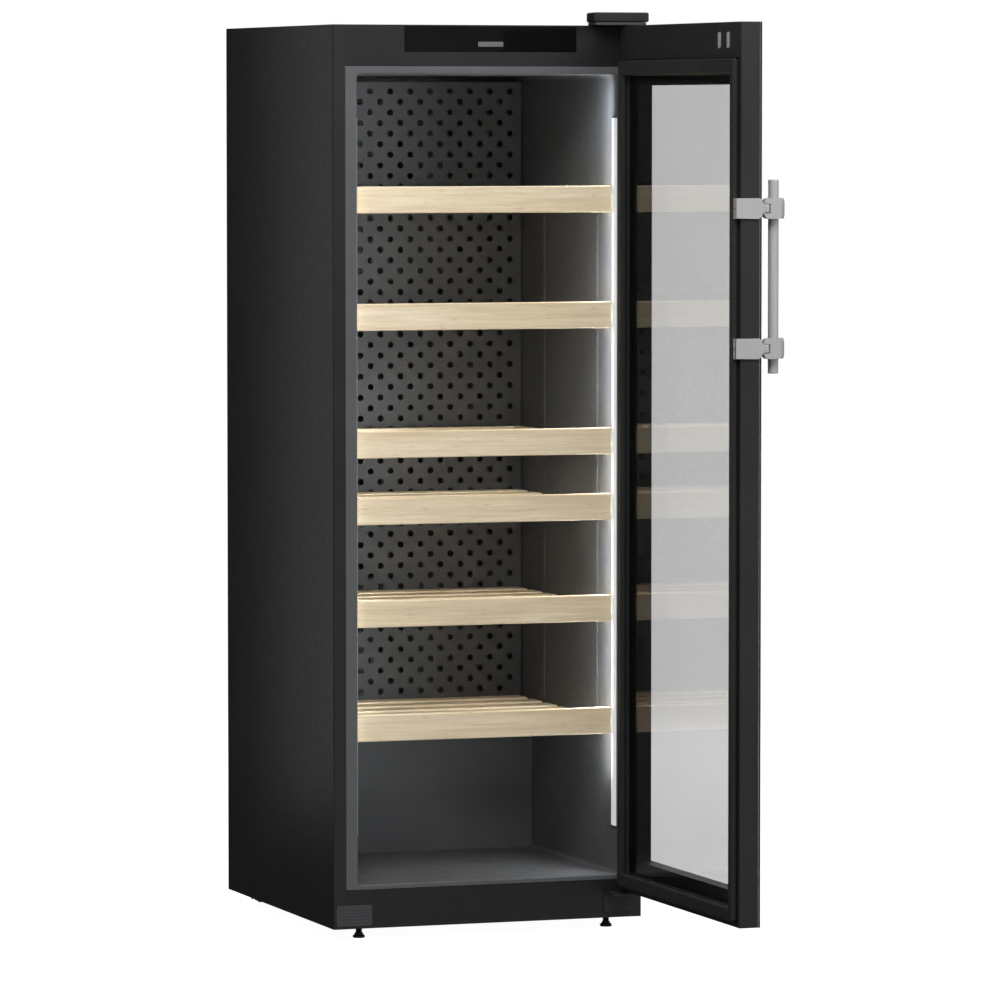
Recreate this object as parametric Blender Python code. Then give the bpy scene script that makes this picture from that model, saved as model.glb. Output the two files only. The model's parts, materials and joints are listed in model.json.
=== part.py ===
"""Free-standing wine cooler with a hinged glass door, standing open at a right angle.

Every piece is modelled in cabinet coordinates: X runs from the left side to the right,
Y from the front of the cabinet to the back, Z up from the floor. Door pieces are drawn
with the door shut and then swung open about the hinge. At the end everything is moved
so that the middle of the footprint is the origin.
"""
import math

import bmesh
import bpy
from mathutils import Matrix, Vector

# ---------------------------------------------------------------- driving sizes (metres)
WIDTH = 0.597
DEPTH = 0.648
BASE_Z = 0.020
TOP_Z = 1.660
SHEET = 0.001
GAP = 0.0003

OPEN_X = (0.0465, 0.5505)
OPEN_Z = (0.100, 1.570)
LINER_BACK = 0.585
STEP_Y = 0.466
STEP_Z = 0.325
LINER_WALL = 0.0012

DOOR_T = 0.040
DOOR_GAP = 0.012
DOOR_Z = (0.0735, 1.6595)
HINGE_IN = 0.023
HINGE_DEEP = 0.0115
HINGE_X = WIDTH - HINGE_IN
HINGE_Y = -(DOOR_GAP + DOOR_T - HINGE_DEEP)
DOOR_OPEN = 90.0
DOOR_FRONT = -(DOOR_GAP + DOOR_T)
DOOR_BACK = -DOOR_GAP
GLASS_T = 0.004
WINDOW_X = (0.0470, 0.5270)
WINDOW_Z = (0.1265, 1.5585)
REBATE_X = (0.0265, 0.5570)
REBATE_Z = (0.1090, 1.5680)

SHELF_X = (0.0530, 0.5445)
GRID_X = (0.0605, 0.5365)
SHELF_TOPS = (1.3675, 1.1550, 0.9232, 0.8020, 0.6150, 0.4070)
SHELF_HIGH = 0.0485
SHELF_FRONT = 0.020
SHELF_BACK = 0.500
OPEN_SHELF = 3

HANDLE_ZS = (1.3345, 1.0900)
BAR_Z = (1.0455, 1.3845)
BAR_XY = (0.022, -0.082)
PIVOT_XY = (0.002, -0.060)
PLUNGER_X = 0.0042

FOOT_XS = (0.058, 0.539)
FOOT_Y = 0.032
ROLLER_XS = (0.049, 0.548)
ROLLER_Y = 0.585
ROLLER_R = 0.0095

CENTRE_X = 0.316
CENTRE_Y = 0.01815


# ---------------------------------------------------------------- mesh helpers
def box(bm, lo, hi):
    """Add one closed box to the mesh."""
    made = bmesh.ops.create_cube(bm, size=1.0)["verts"]
    for v in made:
        for i in range(3):
            v.co[i] = lo[i] if v.co[i] < 0 else hi[i]


def cells(bm, xs, ys, zs, solid):
    """Add the rectangular cells whose middle passes solid(x, y, z), as one skin."""
    def full(i, j, k):
        if not (0 <= i < len(xs) - 1 and 0 <= j < len(ys) - 1 and 0 <= k < len(zs) - 1):
            return False
        mid = ((xs[i] + xs[i + 1]) / 2, (ys[j] + ys[j + 1]) / 2, (zs[k] + zs[k + 1]) / 2)
        return solid(*mid)

    known = {}

    def vert(i, j, k):
        if (i, j, k) not in known:
            known[(i, j, k)] = bm.verts.new((xs[i], ys[j], zs[k]))
        return known[(i, j, k)]

    sides = (
        ((1, 0, 0), ((1, 0, 0), (1, 1, 0), (1, 1, 1), (1, 0, 1))),
        ((-1, 0, 0), ((0, 0, 0), (0, 0, 1), (0, 1, 1), (0, 1, 0))),
        ((0, 1, 0), ((0, 1, 0), (0, 1, 1), (1, 1, 1), (1, 1, 0))),
        ((0, -1, 0), ((0, 0, 0), (1, 0, 0), (1, 0, 1), (0, 0, 1))),
        ((0, 0, 1), ((0, 0, 1), (1, 0, 1), (1, 1, 1), (0, 1, 1))),
        ((0, 0, -1), ((0, 0, 0), (0, 1, 0), (1, 1, 0), (1, 0, 0))),
    )
    for i in range(len(xs) - 1):
        for j in range(len(ys) - 1):
            for k in range(len(zs) - 1):
                if not full(i, j, k):
                    continue
                for (a, b, c), ring in sides:
                    if not full(i + a, j + b, k + c):
                        bm.faces.new([vert(i + u, j + v, k + w) for u, v, w in ring])


def within(value, span):
    return span[0] < value < span[1]


def prism(bm, outline, low, high):
    """Add an upright prism on an XY outline given anticlockwise."""
    bottom = [bm.verts.new((x, y, low)) for x, y in outline]
    top = [bm.verts.new((x, y, high)) for x, y in outline]
    bm.faces.new(list(reversed(bottom)))
    bm.faces.new(top)
    count = len(outline)
    for i in range(count):
        j = (i + 1) % count
        bm.faces.new((bottom[i], bottom[j], top[j], top[i]))


def lathe(bm, profile, sides, turn=None, closed=False):
    """Turn an (r, z) profile about Z; turn is a matrix that places the result."""
    rings = []
    for r, z in profile:
        if r < 1e-7:
            rings.append([bm.verts.new((0, 0, z))])
            continue
        ring = []
        for i in range(sides):
            angle = 2 * math.pi * i / sides
            ring.append(bm.verts.new((r * math.cos(angle), r * math.sin(angle), z)))
        rings.append(ring)
    pairs = list(zip(rings, rings[1:]))
    if closed:
        pairs.append((rings[-1], rings[0]))
    for low, high in pairs:
        for i in range(sides):
            j = (i + 1) % sides
            if len(low) == 1:
                bm.faces.new((low[0], high[j], high[i]))
            elif len(high) == 1:
                bm.faces.new((low[i], low[j], high[0]))
            else:
                bm.faces.new((low[i], low[j], high[j], high[i]))
    if not closed:
        for ring, flip in ((rings[0], True), (rings[-1], False)):
            if len(ring) > 1:
                bm.faces.new(list(reversed(ring)) if flip else ring)
    if turn:
        verts = [v for ring in rings for v in ring]
        bmesh.ops.transform(bm, matrix=turn, verts=verts)


def along_x(x, y, z):
    return Matrix.Translation((x, y, z)) @ Matrix.Rotation(math.pi / 2, 4, "Y")


def along_y(x, y, z):
    return Matrix.Translation((x, y, z)) @ Matrix.Rotation(-math.pi / 2, 4, "X")


def upright(x, y, z):
    return Matrix.Translation((x, y, z))


def swing_matrix():
    """From the shut door to the door as it stands open."""
    axis = Matrix.Translation((HINGE_X, HINGE_Y, 0))
    return axis @ Matrix.Rotation(math.radians(DOOR_OPEN), 4, "Z") @ axis.inverted()


# ---------------------------------------------------------------- looks and objects
def plain(name, colour, rough, metal=0.0, clear=0.0, glow=0.0):
    """A plain surface for one piece."""
    made = bpy.data.materials.new(name)
    made.use_nodes = True
    shader = made.node_tree.nodes["Principled BSDF"]
    shader.inputs["Base Color"].default_value = (*colour, 1.0)
    shader.inputs["Roughness"].default_value = rough
    shader.inputs["Metallic"].default_value = metal
    shader.inputs["Transmission Weight"].default_value = clear
    if glow:
        shader.inputs["Emission Color"].default_value = (*colour, 1.0)
        shader.inputs["Emission Strength"].default_value = glow
    made.diffuse_color = (*colour, 1.0)
    return made


def black_steel(name):
    return plain(name, (0.030, 0.031, 0.033), 0.45)


def black_plastic(name):
    return plain(name, (0.022, 0.022, 0.024), 0.55)


def grey_plastic(name):
    return plain(name, (0.125, 0.130, 0.135), 0.50)


def silver(name):
    return plain(name, (0.52, 0.52, 0.53), 0.38, metal=0.6)


def zinc(name):
    return plain(name, (0.42, 0.43, 0.44), 0.42, metal=1.0)


def beech(name):
    return plain(name, (0.70, 0.53, 0.33), 0.55)


def glass(name):
    return plain(name, (0.80, 0.83, 0.82), 0.03, clear=0.9)


def add(name, bm, surface, pivot=(0, 0, 0), swung=False, smooth=0.0):
    """Turn the mesh into a named object whose origin is its pivot."""
    if swung:
        bmesh.ops.transform(bm, matrix=swing_matrix(), verts=bm.verts)
        pivot = swing_matrix() @ Vector(pivot)
    bmesh.ops.recalc_face_normals(bm, faces=bm.faces)
    pivot = Vector(pivot)
    bmesh.ops.translate(bm, vec=-pivot, verts=bm.verts)
    mesh = bpy.data.meshes.new(name)
    bm.to_mesh(mesh)
    bm.free()
    if smooth:
        mesh.shade_smooth()
        mesh.set_sharp_from_angle(angle=math.radians(smooth))
    mesh.materials.append(surface(name))
    made = bpy.data.objects.new(name, mesh)
    bpy.context.scene.collection.objects.link(made)
    made.location = pivot - Vector((CENTRE_X, CENTRE_Y, 0))
    return made


def bore(target, turn, radius, length, sides=24):
    """Cut a round hole; turn places the cutter's middle in cabinet coordinates."""
    bm = bmesh.new()
    lathe(bm, ((radius, -length / 2), (radius, length / 2)), sides)
    combine(target, bm, turn)


def combine(target, bm, turn, operation="DIFFERENCE"):
    """Cut the mesh, placed by turn, out of the target, or join the two."""
    bmesh.ops.recalc_face_normals(bm, faces=bm.faces)
    mesh = bpy.data.meshes.new(target.name + "_cutter")
    bm.to_mesh(mesh)
    bm.free()
    cutter = bpy.data.objects.new(target.name + "_cutter", mesh)
    bpy.context.scene.collection.objects.link(cutter)
    shift = Matrix.Translation((-CENTRE_X, -CENTRE_Y, 0))
    cutter.matrix_world = shift @ turn
    step = target.modifiers.new("combine", "BOOLEAN")
    step.operation = operation
    step.solver = "EXACT"
    step.object = cutter
    bpy.context.view_layer.objects.active = target
    bpy.ops.object.modifier_apply(modifier=step.name)
    bpy.data.objects.remove(cutter)


# ---------------------------------------------------------------- outer case
def side_panel(name, right):
    edge, flange = SHEET, 0.0225
    outline = [(0, 0), (flange, 0), (flange, SHEET), (edge, SHEET), (edge, DEPTH), (0, DEPTH)]
    if right:
        outline = [(WIDTH - x, y) for x, y in reversed(outline)]
    bm = bmesh.new()
    prism(bm, outline, BASE_Z, TOP_Z)
    add(name, bm, black_steel)


def sheets():
    inner = (SHEET + GAP, WIDTH - SHEET - GAP)
    bm = bmesh.new()
    box(bm, (inner[0], 0.0013, TOP_Z - 0.0012), (inner[1], 0.6465, TOP_Z))
    add("top_panel", bm, black_steel)
    bm = bmesh.new()
    box(bm, (inner[0], 0.6468, 0.2915), (inner[1], DEPTH, TOP_Z))
    add("rear_panel", bm, zinc)


def rear_compartment_cover():
    xs = [SHEET + GAP, 0.060]
    for n in range(9):
        xs += [0.080 + n * 0.048, 0.112 + n * 0.048]
    xs += [0.540, WIDTH - SHEET - GAP]
    slots = [(0.080 + n * 0.048, 0.112 + n * 0.048) for n in range(9)]
    zs = [0.022, 0.060, 0.068, 0.205, 0.213, 0.232, 0.240, 0.290]

    def solid(x, y, z):
        row = within(z, (0.060, 0.068)) or within(z, (0.205, 0.213)) or within(z, (0.232, 0.240))
        return not (row and any(within(x, slot) for slot in slots))

    bm = bmesh.new()
    cells(bm, xs, [0.6468, DEPTH], zs, solid)
    add("rear_compartment_cover", bm, zinc)


def base_pan():
    """Floor sheet with folded tabs that carry the roller axle."""
    xs, tabs = [SHEET + GAP], []
    for mid in ROLLER_XS:
        for side in (-1, 1):
            a = mid + side * 0.0125
            tabs.append((a - 0.00075, a + 0.00075))
            xs += [a - 0.00075, a + 0.00075]
    xs.append(WIDTH - SHEET - GAP)
    ys = [0.0305, ROLLER_Y - 0.009, ROLLER_Y + 0.009, 0.6465]

    def solid(x, y, z):
        if z > BASE_Z:
            return True
        return within(y, (ys[1], ys[2])) and any(within(x, tab) for tab in tabs)

    bm = bmesh.new()
    cells(bm, xs, ys, [0.0035, BASE_Z, BASE_Z + 0.0013], solid)
    made = add("base_pan", bm, zinc)
    bore(made, along_x(WIDTH / 2, ROLLER_Y, ROLLER_R), 0.0033, 0.56)


def insulation_foam():
    low, high = BASE_Z + 0.0017, TOP_Z - 0.0015
    ys = [0.0018, 0.0305, STEP_Y + 0.0015, 0.500, LINER_BACK + 0.0015, 0.6465]
    zs = [low, 0.0910, OPEN_Z[0] - 0.0015, 0.295, STEP_Z - 0.0015, OPEN_Z[1] + 0.0015, 1.5852, high]
    hollow_x = (OPEN_X[0] - 0.0015, OPEN_X[1] + 0.0015)

    def solid(x, y, z):
        if y < 0.0305 and (z < 0.0910 or z > 1.5852):
            return False
        if y > 0.500 and z < 0.295:
            return False
        if within(x, hollow_x) and within(z, (zs[2], zs[5])) and y < ys[4]:
            return y > STEP_Y + 0.0015 and z < STEP_Z - 0.0015
        return True

    bm = bmesh.new()
    xs = [SHEET + GAP, *hollow_x, WIDTH - SHEET - GAP]
    cells(bm, xs, ys, zs, solid)
    add("insulation_foam", bm, lambda n: plain(n, (0.62, 0.55, 0.36), 0.85))


def inner_liner():
    wall, lip = LINER_WALL, 0.0015
    xs = [0.0240, OPEN_X[0] - wall, *OPEN_X, OPEN_X[1] + wall, WIDTH - 0.0240]
    ys = [0.0, lip, STEP_Y, STEP_Y + wall, LINER_BACK, LINER_BACK + wall]
    zs = [0.0910, OPEN_Z[0] - wall, OPEN_Z[0], STEP_Z - wall, STEP_Z]
    zs += [OPEN_Z[1], OPEN_Z[1] + wall, 1.5850]

    def hollow(x, y, z):
        inside = within(x, OPEN_X) and within(z, OPEN_Z) and y < LINER_BACK
        return inside and not (y > STEP_Y and z < STEP_Z)

    def skin(x, y, z):
        outer = within(x, (xs[1], xs[4])) and within(z, (zs[1], zs[6]))
        return outer and not (y > STEP_Y + wall and z < STEP_Z - wall)

    def solid(x, y, z):
        if hollow(x, y, z):
            return False
        return y < lip or skin(x, y, z)

    bm = bmesh.new()
    cells(bm, xs, ys, zs, solid)
    add("inner_liner", bm, grey_plastic)


def front_mouldings():
    ends = (0.0228, WIDTH - 0.0228)
    bm = bmesh.new()
    box(bm, (ends[0], 0, BASE_Z), (ends[1], 0.030, 0.0902))
    add("lower_front_rail", bm, black_plastic)

    panel_x, panel_z = (0.1370, 0.4680), (1.6110, 1.6570)
    bm = bmesh.new()
    cells(bm, [ends[0], *panel_x, ends[1]], [0, 0.0033, 0.030], [1.5855, *panel_z, 1.6585],
          lambda x, y, z: not (within(x, panel_x) and within(z, panel_z) and y < 0.0033))
    add("control_fascia", bm, black_plastic)

    lamp_x, lamp_z = (0.2777, 0.3263), (1.6205, 1.6301)
    xs = [panel_x[0] + GAP, *lamp_x, panel_x[1] - GAP]
    zs = [panel_z[0] + GAP, *lamp_z, panel_z[1] - GAP]
    bm = bmesh.new()
    cells(bm, xs, [-0.0003, 0.0012, 0.0030], zs,
          lambda x, y, z: not (within(x, lamp_x) and within(z, lamp_z) and y < 0.0012))
    add("control_panel_glass", bm, lambda n: plain(n, (0.006, 0.006, 0.007), 0.08))

    bm = bmesh.new()
    box(bm, (lamp_x[0] + GAP, -0.0005, lamp_z[0] + GAP), (lamp_x[1] - GAP, 0.0009, lamp_z[1] - GAP))
    add("status_light_bar", bm, lambda n: plain(n, (0.75, 0.77, 0.78), 0.4, glow=0.5))

    bm = bmesh.new()
    box(bm, (0.0045, -0.0023, 0.0253), (0.0725, -0.0003, 0.0636))
    add("spare_hinge_cover_plate", bm, grey_plastic)


# ---------------------------------------------------------------- inside the cabinet
def led_strips():
    for name, low in (("led_strip_left", OPEN_X[0] + GAP), ("led_strip_right", OPEN_X[1] - GAP - 0.0015)):
        bm = bmesh.new()
        box(bm, (low, 0.006, 0.184), (low + 0.0015, 0.032, 1.4955))
        add(name, bm, lambda n: plain(n, (0.92, 0.94, 0.95), 0.4, glow=1.0))


def shelf_racks():
    for name, flip in (("shelf_rack_left", False), ("shelf_rack_right", True)):
        xs = [OPEN_X[0] + GAP, OPEN_X[0] + 0.0025, 0.0590]
        if flip:
            xs = [WIDTH - x for x in reversed(xs)]
        plate = (xs[1], xs[2]) if flip else (xs[0], xs[1])
        zs, ledges = [STEP_Z + 0.020], []
        for top in reversed(SHELF_TOPS):
            mid = top - SHELF_HIGH + 0.021
            ledges.append((mid - 0.005, mid + 0.005))
            zs += list(ledges[-1])
        zs.append(1.350)
        bm = bmesh.new()
        cells(bm, xs, [0.060, 0.460], zs,
              lambda x, y, z: within(x, plate) or any(within(z, ledge) for ledge in ledges))
        add(name, bm, black_steel)


def shelf(number, top):
    front = (SHELF_FRONT, SHELF_FRONT + 0.016)
    bottom = top - SHELF_HIGH
    bm = bmesh.new()
    box(bm, (SHELF_X[0], front[0], bottom), (SHELF_X[1], front[1], top))
    add("shelf_front_%d" % number, bm, beech, pivot=(WIDTH / 2, front[0], bottom))

    stiles = (GRID_X[0] + 0.018, GRID_X[1] - 0.018)
    start = front[1] + GAP
    if number == OPEN_SHELF:
        ys, slats = [start, start + 0.020, SHELF_BACK - 0.020, SHELF_BACK], 2
        cross = [(ys[0], ys[1]), (ys[2], ys[3])]
    else:
        slats, wide = 6, 0.050
        pitch = (SHELF_BACK - start - wide) / (slats - 1)
        cross = [(start + n * pitch, start + n * pitch + wide) for n in range(slats)]
        ys = [y for pair in cross for y in pair]
    bm = bmesh.new()
    cells(bm, [GRID_X[0], *stiles, GRID_X[1]], ys, [bottom + 0.010, bottom + 0.030],
          lambda x, y, z: not within(x, stiles) or any(within(y, pair) for pair in cross))
    name = "shelf_frame_%d" if number == OPEN_SHELF else "shelf_slats_%d"
    add(name % number, bm, beech, pivot=(WIDTH / 2, front[0], bottom))


def rear_duct():
    bm = bmesh.new()
    box(bm, (0.0475, 0.520, 0.335), (0.5495, 0.522, 1.560))
    add("perforated_duct_panel", bm, lambda n: plain(n, (0.055, 0.057, 0.060), 0.5))

    fins = 14
    outline = [(0.110, 0.576), (0.110, 0.572)]
    for n in range(fins):
        x = 0.110 + n * 0.0275
        outline += [(x, 0.572), (x, 0.546), (x + 0.010, 0.546), (x + 0.010, 0.572)]
    outline = outline[0:1] + outline[2:] + [(0.4775, 0.576)]
    bm = bmesh.new()
    prism(bm, outline, 0.620, 1.180)
    add("evaporator", bm, zinc)

    hub = (WIDTH / 2, 0.556, 1.400)
    add("circulation_fan", fan_mesh(hub, 0.060, 5, 0.008), black_plastic, pivot=hub)


def fan_mesh(hub, reach, blades, thick):
    """Flat star of blades on a round hub, spinning about Y."""
    outline = []
    for n in range(blades):
        start = 2 * math.pi * n / blades
        for turn, radius in ((0.00, 0.018), (0.10, reach), (0.55, reach), (0.80, 0.018)):
            angle = start + turn * 2 * math.pi / blades
            outline.append((radius * math.cos(angle), radius * math.sin(angle)))
    bm = bmesh.new()
    prism(bm, outline, -thick / 2, thick / 2)
    bmesh.ops.transform(bm, matrix=along_y(*hub), verts=bm.verts)
    return bm


# ---------------------------------------------------------------- compressor compartment
def compartment():
    profile = ((0.046, 0.0), (0.058, 0.012), (0.060, 0.060), (0.060, 0.110), (0.050, 0.142), (0.024, 0.158),
               (0.0, 0.160))
    bm = bmesh.new()
    lathe(bm, profile, 24, upright(0.420, 0.572, 0.034))
    add("compressor", bm, lambda n: plain(n, (0.012, 0.012, 0.013), 0.35), smooth=40)

    bm = bmesh.new()
    box(bm, (0.345, 0.512, BASE_Z + 0.0016), (0.495, 0.632, 0.0335))
    add("compressor_mount", bm, zinc)

    outline, fins = [(0.080, 0.616)], 12
    for n in range(fins):
        x = 0.080 + n * 0.014
        outline += [(x, 0.612), (x, 0.530), (x + 0.005, 0.530), (x + 0.005, 0.612)]
    outline = outline[:1] + outline[2:] + [(0.239, 0.616)]
    bm = bmesh.new()
    prism(bm, outline, 0.030, 0.200)
    add("condenser", bm, zinc)

    bm = bmesh.new()
    cells(bm, [0.498, 0.501, 0.529, 0.532], [0.6483, 0.6503, 0.6563], [0.100, 0.103, 0.124, 0.127],
          lambda x, y, z: y < 0.6503 or not (within(x, (0.501, 0.529)) and within(z, (0.103, 0.124))))
    add("mains_inlet", bm, black_plastic)


# ---------------------------------------------------------------- feet and rollers
def feet_and_rollers():
    for name, x in zip(("levelling_foot_left", "levelling_foot_right"), FOOT_XS):
        bm = bmesh.new()
        profile = ((0.0105, 0.0), (0.0112, 0.0015), (0.0105, 0.0045), (0.0062, 0.0095), (0.0062, 0.0197))
        lathe(bm, profile, 24, upright(x, FOOT_Y, 0))
        add(name, bm, black_plastic, pivot=(x, FOOT_Y, 0), smooth=40)
    for name, x in zip(("rear_roller_left", "rear_roller_right"), ROLLER_XS):
        bm = bmesh.new()
        ring = ((0.0035, -0.009), (ROLLER_R, -0.009), (ROLLER_R, 0.009), (0.0035, 0.009))
        lathe(bm, ring, 32, along_x(x, ROLLER_Y, ROLLER_R), closed=True)
        add(name, bm, black_plastic, pivot=(x, ROLLER_Y, ROLLER_R), smooth=40)
    bm = bmesh.new()
    lathe(bm, ((0.003, -0.272), (0.003, 0.272)), 20, along_x(WIDTH / 2, ROLLER_Y, ROLLER_R))
    add("rear_roller_axle", bm, zinc, smooth=40)


# ---------------------------------------------------------------- hinges
def hinges():
    bm = bmesh.new()
    plate = [(0.5030, 0.0330), (0.4868, -0.0490), (0.5820, -0.0500), (0.5875, -0.0445), (0.5875, 0.0330)]
    prism(bm, plate, TOP_Z + GAP, TOP_Z + 0.0055)
    add("upper_hinge_bracket", bm, grey_plastic)

    bm = bmesh.new()
    lathe(bm, ((0.005, 1.6330), (0.005, TOP_Z)), 24, upright(HINGE_X, HINGE_Y, 0))
    add("upper_hinge_pin", bm, zinc, smooth=40)

    outside = [(0.5010, 0.0350), (0.4840, -0.0515), (0.5895, -0.0515), (0.5895, 0.0350)]
    inside = [(0.5031, 0.0325), (0.4871, -0.0490), (0.5870, -0.0490), (0.5870, 0.0325)]
    bm = bmesh.new()
    prism(bm, outside, TOP_Z + 0.0058, TOP_Z + 0.0235)
    cover = add("upper_hinge_cover", bm, black_plastic)
    bm = bmesh.new()
    prism(bm, inside, TOP_Z, TOP_Z + 0.0210)
    combine(cover, bm, Matrix.Identity(4))

    bm = bmesh.new()
    cells(bm, [0.522, 0.586], [-0.050, -0.0033, -0.0003], [0.030, 0.0660, 0.0705],
          lambda a, b, c: c > 0.0660 or b > -0.0033)
    add("lower_hinge_bracket", bm, black_steel)

    bm = bmesh.new()
    lathe(bm, ((0.005, 0.0708), (0.005, 0.0960)), 24, upright(HINGE_X, HINGE_Y, 0))
    add("lower_hinge_pin", bm, zinc, smooth=40)


# ---------------------------------------------------------------- door
def ring(name, xs, ys, zs, surface):
    """Upright rectangular ring: xs and zs give outer, inner, inner, outer edges."""
    bm = bmesh.new()
    cells(bm, xs, ys, zs, lambda x, y, z: not (within(x, xs[1:3]) and within(z, zs[1:3])))
    return add(name, bm, surface, pivot=(HINGE_X, HINGE_Y, 0), swung=True)


def door():
    hinge = (HINGE_X, HINGE_Y, 0)
    bm = bmesh.new()
    cells(bm, [0, REBATE_X[0], *WINDOW_X, REBATE_X[1], WIDTH], [DOOR_FRONT + GLASS_T + GAP, -0.0203, DOOR_BACK],
          [DOOR_Z[0], REBATE_Z[0], *WINDOW_Z, REBATE_Z[1], DOOR_Z[1]],
          lambda x, y, z: not (within(x, WINDOW_X) and within(z, WINDOW_Z))
          and (y < -0.0203 or not (within(x, REBATE_X) and within(z, REBATE_Z))))
    frame = add("door_frame", bm, black_steel, pivot=hinge, swung=True)
    bore(frame, upright(HINGE_X, HINGE_Y, DOOR_Z[0]), 0.0056, 0.052)
    bore(frame, upright(HINGE_X, HINGE_Y, DOOR_Z[1]), 0.0056, 0.060)

    bm = bmesh.new()
    box(bm, (0, DOOR_FRONT, DOOR_Z[0]), (WIDTH, DOOR_FRONT + GLASS_T, DOOR_Z[1]))
    add("door_outer_glass", bm, glass, pivot=hinge, swung=True)

    bm = bmesh.new()
    box(bm, (REBATE_X[0] + GAP, -0.0200, REBATE_Z[0] + GAP), (REBATE_X[1] - GAP, -0.0160, REBATE_Z[1] - GAP))
    add("door_inner_glass", bm, glass, pivot=hinge, swung=True)

    edge = 0.008
    xs = [WINDOW_X[0] + GAP, WINDOW_X[0] + edge, WINDOW_X[1] - edge, WINDOW_X[1] - GAP]
    zs = [WINDOW_Z[0] + GAP, WINDOW_Z[0] + edge, WINDOW_Z[1] - edge, WINDOW_Z[1] - GAP]
    ring("glazing_spacer", xs, [DOOR_FRONT + GLASS_T + GAP, -0.0203], zs, black_plastic)

    ring("door_gasket", [0.0095, 0.0255, 0.5580, 0.5760], [-0.0117, -0.0004],
         [0.0840, 0.1080, 1.5690, 1.5960], lambda n: plain(n, (0.035, 0.035, 0.037), 0.7))

    for number, x in ((1, 0.0587), (2, 0.1004)):
        bm = bmesh.new()
        box(bm, (x - 0.0050, -0.0117, 1.6140), (x + 0.0050, -0.0102, 1.6420))
        add("spare_hinge_plug_%d" % number, bm, silver, pivot=hinge, swung=True)


def handle():
    hinge = (HINGE_X, HINGE_Y, 0)
    lever = (*PIVOT_XY, 0)
    outline = [(-0.0055, -0.0545), (-0.0055, -0.0860), (0.0020, -0.0940), (0.0120, -0.0985), (0.0260, -0.0985),
               (0.0345, -0.0900), (0.0345, -0.0770), (0.0270, -0.0702), (0.0125, -0.0680), (0.0100, -0.0655),
               (0.0100, -0.0545)]
    swing = swing_matrix()
    for word, z in zip(("upper", "lower"), HANDLE_ZS):
        bm = bmesh.new()
        xs = [-0.0055, -0.0003, 0.0085, 0.0090]
        ys = [-0.0650, -0.0545, -0.0515, -0.0117, -0.0020]
        zs = [z - 0.018, z - 0.008, z + 0.008, z + 0.018]

        def solid(x, y, high):
            if y < -0.0545:
                return abs(high - z) < 0.008
            if y < -0.0515:
                return x < -0.0003 and abs(high - z) < 0.008
            return x < -0.0003 or (y > -0.0117 and x < 0.0085)

        cells(bm, xs, ys, zs, solid)
        bracket = add("handle_bracket_" + word, bm, silver, pivot=hinge, swung=True)
        bm = bmesh.new()
        lathe(bm, ((0.0020, -0.0178), (0.0020, 0.0178)), 20)
        combine(bracket, bm, swing @ upright(*PIVOT_XY, z), "UNION")
        bore(bracket, swing @ along_y(PLUNGER_X, -0.0068, z), 0.0029, 0.016)

        bm = bmesh.new()
        prism(bm, outline, z - 0.018, z + 0.018)
        arm = add("handle_arm_" + word, bm, silver, pivot=lever, swung=True)
        bm = bmesh.new()
        box(bm, (-0.0100, -0.0668, z - 0.0084), (0.0120, -0.0500, z + 0.0084))
        combine(arm, bm, swing)
        bore(arm, swing @ upright(*PIVOT_XY, z), 0.0024, 0.050)
        bore(arm, swing @ upright(*BAR_XY, z), 0.0098, 0.050, 32)

        bm = bmesh.new()
        lathe(bm, ((0.0025, 0.0), (0.0025, 0.0085), (0.0018, 0.0093)), 20, along_y(PLUNGER_X, -0.0115, z))
        add("push_plunger_" + word, bm, black_plastic, pivot=(PLUNGER_X, -0.0115, z), swung=True, smooth=40)

    bm = bmesh.new()
    low, high = BAR_Z
    profile = ((0.0080, low), (0.0095, low + 0.0015), (0.0095, high - 0.0015), (0.0080, high))
    lathe(bm, profile, 32, upright(*BAR_XY, 0))
    add("handle_bar", bm, silver, pivot=lever, swung=True, smooth=40)


def clear_scene():
    for old in list(bpy.data.objects):
        bpy.data.objects.remove(old, do_unlink=True)


def main():
    clear_scene()
    side_panel("left_side_panel", False)
    side_panel("right_side_panel", True)
    sheets()
    rear_compartment_cover()
    base_pan()
    insulation_foam()
    inner_liner()
    front_mouldings()
    led_strips()
    shelf_racks()
    for number, top in enumerate(SHELF_TOPS, 1):
        shelf(number, top)
    rear_duct()
    compartment()
    feet_and_rollers()
    hinges()
    door()
    handle()


main()
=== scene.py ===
import json
import math

import bmesh
import bpy
from mathutils import Matrix, Vector


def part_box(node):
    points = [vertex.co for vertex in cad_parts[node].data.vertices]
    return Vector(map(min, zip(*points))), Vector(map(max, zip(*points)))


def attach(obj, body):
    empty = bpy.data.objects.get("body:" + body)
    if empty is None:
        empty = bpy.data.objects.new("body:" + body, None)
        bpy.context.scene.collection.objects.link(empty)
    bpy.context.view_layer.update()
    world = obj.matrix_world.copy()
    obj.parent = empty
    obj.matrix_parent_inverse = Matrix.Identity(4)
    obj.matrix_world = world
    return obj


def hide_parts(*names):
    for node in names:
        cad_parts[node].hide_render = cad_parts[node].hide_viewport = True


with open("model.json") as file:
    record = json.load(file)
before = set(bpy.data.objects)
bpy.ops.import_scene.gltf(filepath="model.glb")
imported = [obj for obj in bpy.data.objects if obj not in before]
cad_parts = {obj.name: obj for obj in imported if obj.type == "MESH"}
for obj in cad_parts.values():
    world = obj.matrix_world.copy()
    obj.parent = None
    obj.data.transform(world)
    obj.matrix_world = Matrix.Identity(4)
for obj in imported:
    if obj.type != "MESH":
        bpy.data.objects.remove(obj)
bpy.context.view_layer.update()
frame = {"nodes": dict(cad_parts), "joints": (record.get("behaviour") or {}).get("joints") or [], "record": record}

# Pieces are drawn in metres in cabinet coordinates: X runs from the left side to the right, Y from
# the front of the cabinet to the back, Z up from the floor. Door pieces are drawn with the door
# shut, then swung open.
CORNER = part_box("left_side_panel")[0]
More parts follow.
